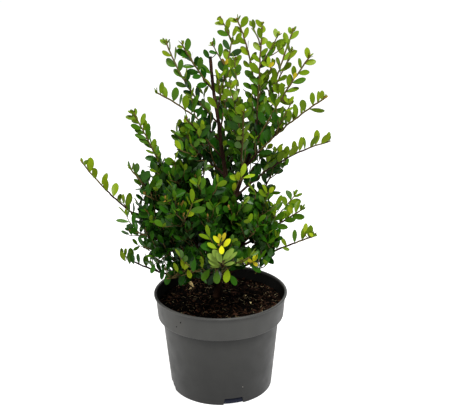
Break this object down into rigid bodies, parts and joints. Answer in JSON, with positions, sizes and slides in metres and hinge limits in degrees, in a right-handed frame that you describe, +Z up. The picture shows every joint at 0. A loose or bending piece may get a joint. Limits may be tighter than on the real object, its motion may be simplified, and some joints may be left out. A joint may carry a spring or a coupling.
{
  "type": "potted japanese holly shrub",
  "caption": "Young evergreen shrub with small oval glossy leaves on upright twiggy shoots, growing in soil in a round grey plastic nursery pot with a tall collar.",
  "frame": {"origin": "centre of the pot's flat underside", "axes": "+Z up along the pot's axis; -Y is the side that the picture was taken from; +X to the right as seen from there"},
  "size_m": [0.3458, 0.2624, 0.535],
  "materials": {
    "pot_plastic": "moulded plastic, satin, faint fine texture",
    "potting_mix": "moist granular potting mix with fibres and bark bits",
    "bark": "thin brown bark",
    "foliage": "small glossy evergreen leaves on thin twigs"
  },
  "bodies": {
    "root": {"pot": "pot_plastic", "soil": "potting_mix", "trunk": "bark", "bough_back": "bark", "bough_back_left": "bark", "bough_back_right": "bark", "bough_front": "bark", "bough_front_left": "bark", "bough_front_right": "bark", "bough_left": "bark", "bough_left_bottom": "bark", "bough_left_low": "bark", "bough_right": "bark", "bough_right_low": "bark", "bough_right_middle": "bark", "leaves_back_left": "foliage", "leaves_back_low": "foliage", "leaves_back_middle": "foliage", "leaves_back_right": "foliage", "leaves_back_right_upper": "foliage", "leaves_back_top": "foliage", "leaves_back_upper": "foliage", "leaves_front": "foliage", "leaves_front_high": "foliage", "leaves_front_right": "foliage", "leaves_inner_back": "foliage", "leaves_inner_left": "foliage", "leaves_inner_right": "foliage", "leaves_left_bottom": "foliage", "leaves_left_bottom_back": "foliage", "leaves_left_crown": "foliage", "leaves_left_far": "foliage", "leaves_left_fore": "foliage", "leaves_left_front": "foliage", "leaves_left_high": "foliage", "leaves_left_middle": "foliage", "leaves_left_rim": "foliage", "leaves_left_spray": "foliage", "leaves_right_arm": "foliage", "leaves_right_fore": "foliage", "leaves_right_inner": "foliage", "leaves_right_low": "foliage", "leaves_right_middle": "foliage", "leaves_right_outer": "foliage", "leaves_top": "foliage", "leaves_top_cluster": "foliage", "leaves_top_left": "foliage", "leaves_top_middle": "foliage", "leaves_top_right": "foliage", "leaves_upper_left": "foliage"}
  },
  "joints": []
}
